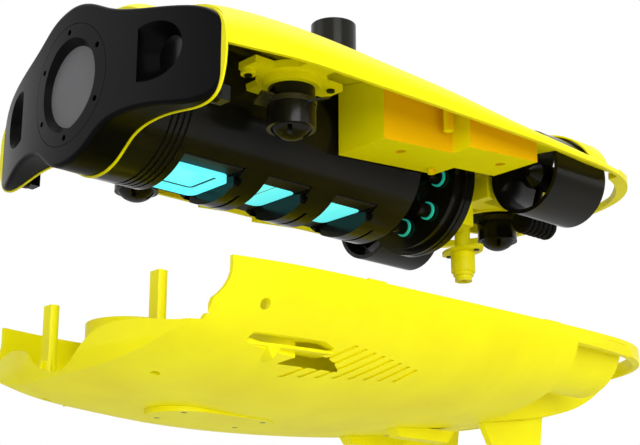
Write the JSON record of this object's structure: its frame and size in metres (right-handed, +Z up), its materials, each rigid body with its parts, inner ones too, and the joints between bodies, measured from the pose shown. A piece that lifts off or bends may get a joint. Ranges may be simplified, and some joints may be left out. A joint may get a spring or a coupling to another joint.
{
  "type": "underwater inspection rov",
  "caption": "Low underwater inspection vehicle with a yellow two-part hull, black camera nose, sealed tube and ducted thrusters, lower shell dropped clear.",
  "frame": {"origin": "under the middle of the vehicle at its lowest face", "axes": "+Z up, +Y aft, +X to port; the nose faces -Y"},
  "size_m": [0.2264, 0.385, 0.2544],
  "materials": {
    "yellow_shell": "satin moulded yellow",
    "yellow_foam": "matt yellow buoyancy foam",
    "black_nose": "satin black",
    "black_gloss": "gloss black",
    "smoke_blade": "smoky translucent",
    "window_glass": "polished",
    "lens_clear": "polished",
    "black_rubber": "soft",
    "teal_rubber": "soft",
    "dark_screw": "blackened",
    "grey_gland": "light grey",
    "reflector": "bright",
    "board": "board",
    "tray": "dark grey",
    "cyan_cell": "bright cyan",
    "cell_wrap": "dark wrap"
  },
  "bodies": {
    "lower_hull": {"lower_shell": "yellow_shell", "keel_skids": "yellow_shell", "keel_fins": "yellow_shell", "belly_hatch": "yellow_shell", "hatch_screws": "dark_screw", "rim_clips": "yellow_shell"},
    "upper_assembly": {"top_shell": "yellow_shell", "port_lift_mount": "yellow_shell", "starboard_lift_mount": "yellow_shell", "rear_shroud": "yellow_shell", "lock_fitting": "yellow_shell", "nose_gasket": "yellow_shell", "port_foam": "yellow_foam", "starboard_foam": "yellow_foam", "foam_bosses": "yellow_foam", "nose_fairing": "black_nose", "camera_bezel": "black_nose", "front_cap": "black_gloss", "main_housing": "black_gloss", "rear_neck": "black_gloss", "connector_plate": "black_gloss", "penetrators": "black_gloss", "nose_latches": "black_gloss", "port_duct": "black_gloss", "starboard_duct": "black_gloss", "lift_stators": "black_gloss", "rear_stator": "black_gloss", "tether_socket": "black_gloss", "tether_collar": "black_gloss", "camera_window": "window_glass", "light_lenses": "lens_clear", "front_orings": "black_rubber", "rear_oring": "black_rubber", "penetrator_rings": "teal_rubber", "bezel_screws": "dark_screw", "mount_screws": "dark_screw", "fitting_screws": "dark_screw", "rear_glands": "grey_gland", "light_reflectors": "reflector", "light_boards": "board", "electronics_board": "board", "window_trays": "tray", "battery_windows": "cyan_cell", "battery_pack": "cell_wrap", "camera_module": "cell_wrap"},
    "port_lift_rotor": {"port_lift_can": "black_gloss", "port_lift_blades": "smoke_blade"},
    "starboard_lift_rotor": {"starboard_lift_can": "black_gloss", "starboard_lift_blades": "smoke_blade"},
    "rear_lift_rotor": {"rear_lift_can": "black_gloss", "rear_lift_blades": "smoke_blade"},
    "port_drive_rotor": {"port_propeller": "black_gloss"},
    "starboard_drive_rotor": {"starboard_propeller": "black_gloss"}
  },
  "joints": [
    {"name": "hull_lift", "type": "slide", "parent": "lower_hull", "child": "upper_assembly", "axis": [0, 0, 1], "range_m": [-0.104, 0]},
    {"name": "port_lift_spin", "type": "hinge", "parent": "upper_assembly", "child": "port_lift_rotor", "pos_m": [0.0706, -0.0995, 0.1514], "axis": [0, 0, 1], "continuous": true},
    {"name": "starboard_lift_spin", "type": "hinge", "parent": "upper_assembly", "child": "starboard_lift_rotor", "pos_m": [-0.0706, -0.0995, 0.1514], "axis": [0, 0, 1], "continuous": true},
    {"name": "rear_lift_spin", "type": "hinge", "parent": "upper_assembly", "child": "rear_lift_rotor", "pos_m": [0, 0.1415, 0.1514], "axis": [0, 0, 1], "continuous": true},
    {"name": "port_drive_spin", "type": "hinge", "parent": "upper_assembly", "child": "port_drive_rotor", "pos_m": [0.07, 0.1045, 0.1624], "axis": [0, 1, 0], "continuous": true},
    {"name": "starboard_drive_spin", "type": "hinge", "parent": "upper_assembly", "child": "starboard_drive_rotor", "pos_m": [-0.07, 0.1045, 0.1624], "axis": [0, 1, 0], "continuous": true}
  ]
}
